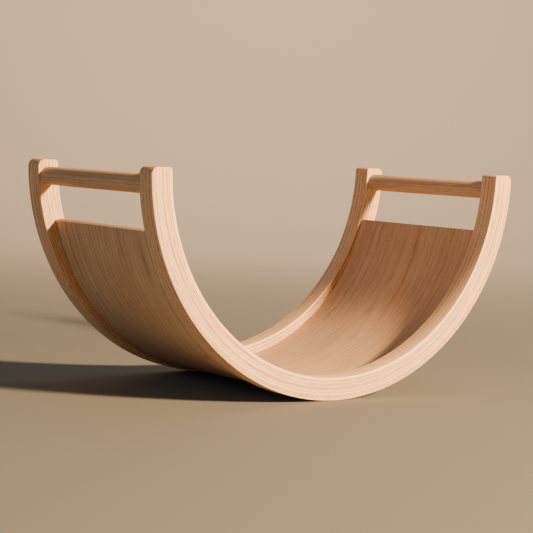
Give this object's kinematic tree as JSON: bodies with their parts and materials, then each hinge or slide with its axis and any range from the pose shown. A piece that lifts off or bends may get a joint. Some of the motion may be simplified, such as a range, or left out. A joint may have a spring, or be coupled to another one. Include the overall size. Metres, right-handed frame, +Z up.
{
  "type": "rocking arch",
  "caption": "Child's rocker: half-round laminated rails carry a curved plywood seat, with a round grab handle between the rails' ends at the front and at the back.",
  "frame": {"origin": "on the floor under the middle of the rocker, at the centre of the bottom of its box", "axes": "+X forwards along the rocking direction, +Y to the left across the rocker, +Z up"},
  "size_m": [0.7796, 0.4, 0.3899],
  "materials": {
    "rail_wood": "pale ash, bent and glued in strips, sanded and clear matt oiled, with the grain along the arc",
    "seat_veneer": "crown-cut ash veneer, clear matt oiled, with the grain along the arc",
    "seat_core": "plywood core, its edge showing thin alternating plies",
    "handle_wood": "turned ash, clear matt oiled, with the grain along the handle"
  },
  "bodies": {
    "root": {"left_rail_strip_1": "rail_wood", "left_rail_strip_2": "rail_wood", "left_rail_strip_3": "rail_wood", "left_rail_strip_4": "rail_wood", "left_rail_strip_5": "rail_wood", "left_rail_strip_6": "rail_wood", "right_rail_strip_1": "rail_wood", "right_rail_strip_2": "rail_wood", "right_rail_strip_3": "rail_wood", "right_rail_strip_4": "rail_wood", "right_rail_strip_5": "rail_wood", "right_rail_strip_6": "rail_wood", "seat_face_veneer": "seat_veneer", "seat_core": "seat_core", "seat_back_veneer": "seat_veneer", "front_handle": "handle_wood", "back_handle": "handle_wood"}
  },
  "joints": []
}
